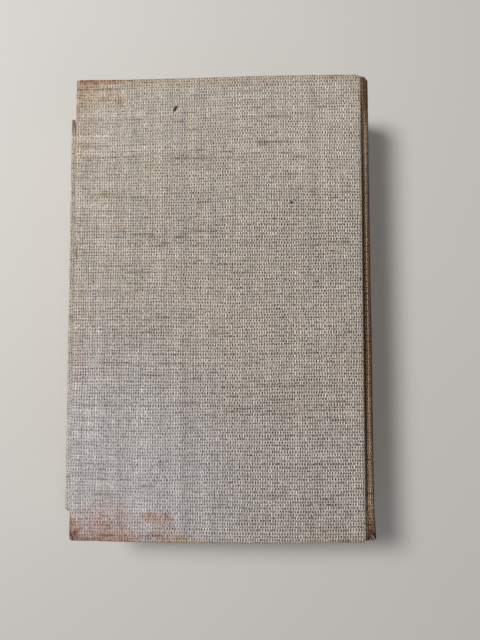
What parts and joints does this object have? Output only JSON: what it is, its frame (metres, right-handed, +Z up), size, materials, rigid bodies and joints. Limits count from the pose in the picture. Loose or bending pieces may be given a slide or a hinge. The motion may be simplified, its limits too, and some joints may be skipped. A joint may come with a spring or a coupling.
{
  "type": "cloth-bound hardback book",
  "caption": "Closed hardback book in plain natural linen, lying on its front cover, its rounded spine leaning; both covers swing open on cloth hinges.",
  "frame": {"origin": "under the middle of the whole closed book, on the plane it rests on", "axes": "+X across the covers towards the spine, +Y from tail to head, +Z up through the thickness, from the front cover to the back cover"},
  "size_m": [0.1376, 0.19, 0.038],
  "materials": {
    "cloth": "matt coarse linen weave, rubbed and stained",
    "board": "matt grey board",
    "leaves": "matt aged paper edges",
    "endpaper": "matt cream paper",
    "lining": "matt open weave with glue",
    "band": "matt cotton"
  },
  "bodies": {
    "leaves": {"text_block": "leaves", "back_flyleaf": "endpaper", "front_flyleaf": "endpaper", "spine_lining": "lining", "spine_inlay": "board", "spine_cloth": "cloth", "head_band": "band", "tail_band": "band"},
    "back_cover": {"back_board": "board", "back_cover_cloth": "cloth", "back_pastedown": "endpaper"},
    "front_cover": {"front_board": "board", "front_cover_cloth": "cloth", "front_pastedown": "endpaper"}
  },
  "joints": [
    {"name": "back_cover_hinge", "type": "hinge", "parent": "leaves", "child": "back_cover", "pos_m": [0.0673, 0, 0.0369], "axis": [0, 1, 0], "range_deg": [0, 180]},
    {"name": "front_cover_hinge", "type": "hinge", "parent": "leaves", "child": "front_cover", "pos_m": [0.0523, 0, 0.0011], "axis": [0, -1, 0], "range_deg": [0, 180]}
  ]
}
